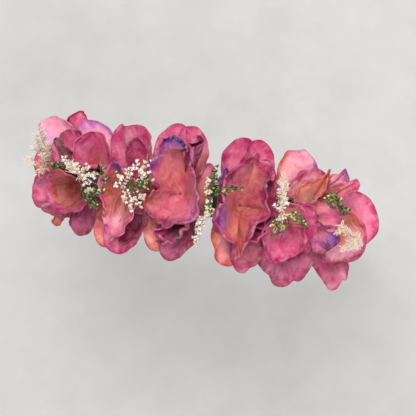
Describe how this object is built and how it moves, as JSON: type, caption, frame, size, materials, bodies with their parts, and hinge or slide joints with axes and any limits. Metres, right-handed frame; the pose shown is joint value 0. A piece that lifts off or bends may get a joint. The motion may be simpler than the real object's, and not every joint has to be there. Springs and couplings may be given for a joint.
{
  "type": "flower crown",
  "caption": "Sprung hair band arched over the head, its outer face set with large ruffled fabric blooms and sprigs of small filler flowers.",
  "frame": {"origin": "centre of the round head space that the band's arch clasps, which is the centre of the liner's inner arc", "axes": "+Z out through the top of the arch, +X along the band towards arm_right, +Y across the band, towards the side that bloom_1 and bloom_7 lean to"},
  "size_m": [0.1755, 0.0643, 0.1854],
  "materials": {
    "spring_steel": "plain cold-rolled strip",
    "ribbon": "cream satin ribbon, wound",
    "felt": "cream felt",
    "base_felt": "moss green felt",
    "cap_brass": "satin",
    "calyx": "moulded green, matte",
    "outer_petal": "dyed cloth, magenta and dusty pink with peach and violet rims",
    "inner_petal": "dyed cloth, rose-salmon cup with crimson and violet lip",
    "pin": "small rose-brown knot",
    "plume": "cream fluffy fibres",
    "statice": "cream florets and green buds on a wire stalk",
    "bud": "green leaf buds on a wire stalk"
  },
  "bodies": {
    "crown": {"band_core": "spring_steel", "ribbon_wrap": "ribbon", "felt_base": "base_felt", "liner": "felt", "plume_1": "plume", "plume_2": "plume", "plume_3": "plume", "bud_sprig": "bud", "statice_1": "statice", "statice_2": "statice", "statice_3": "statice", "statice_4": "statice", "bloom_1_calyx": "calyx", "bloom_1_pin": "pin", "bloom_1_outer_petals": "outer_petal", "bloom_1_inner_petals": "inner_petal", "bloom_2_calyx": "calyx", "bloom_2_pin": "pin", "bloom_2_outer_petals": "outer_petal", "bloom_2_inner_petals": "inner_petal", "bloom_3_calyx": "calyx", "bloom_3_pin": "pin", "bloom_3_outer_petals": "outer_petal", "bloom_3_inner_petals": "inner_petal", "bloom_4_calyx": "calyx", "bloom_4_pin": "pin", "bloom_4_outer_petals": "outer_petal", "bloom_4_inner_petals": "inner_petal", "bloom_5_calyx": "calyx", "bloom_5_pin": "pin", "bloom_5_outer_petals": "outer_petal", "bloom_5_inner_petals": "inner_petal", "bloom_6_calyx": "calyx", "bloom_6_pin": "pin", "bloom_6_outer_petals": "outer_petal", "bloom_6_inner_petals": "inner_petal", "bloom_7_calyx": "calyx", "bloom_7_pin": "pin", "bloom_7_outer_petals": "outer_petal", "bloom_7_inner_petals": "inner_petal", "bloom_8_calyx": "calyx", "bloom_8_pin": "pin", "bloom_8_outer_petals": "outer_petal", "bloom_8_inner_petals": "inner_petal"},
    "arm_left": {"band_core_left": "spring_steel", "ribbon_wrap_left": "ribbon", "tip_cap_left": "cap_brass"},
    "arm_right": {"band_core_right": "spring_steel", "ribbon_wrap_right": "ribbon", "tip_cap_right": "cap_brass"}
  },
  "joints": [
    {"name": "arm_left_flex", "type": "hinge", "parent": "crown", "child": "arm_left", "pos_m": [-0.07253, 0, 0.02816], "axis": [0, 1, 0], "range_deg": [-4, 14], "stiffness_Nm_per_rad": 1.2},
    {"name": "arm_right_flex", "type": "hinge", "parent": "crown", "child": "arm_right", "pos_m": [0.07253, 0, 0.02816], "axis": [0, -1, 0], "range_deg": [-4, 14], "stiffness_Nm_per_rad": 1.2}
  ]
}
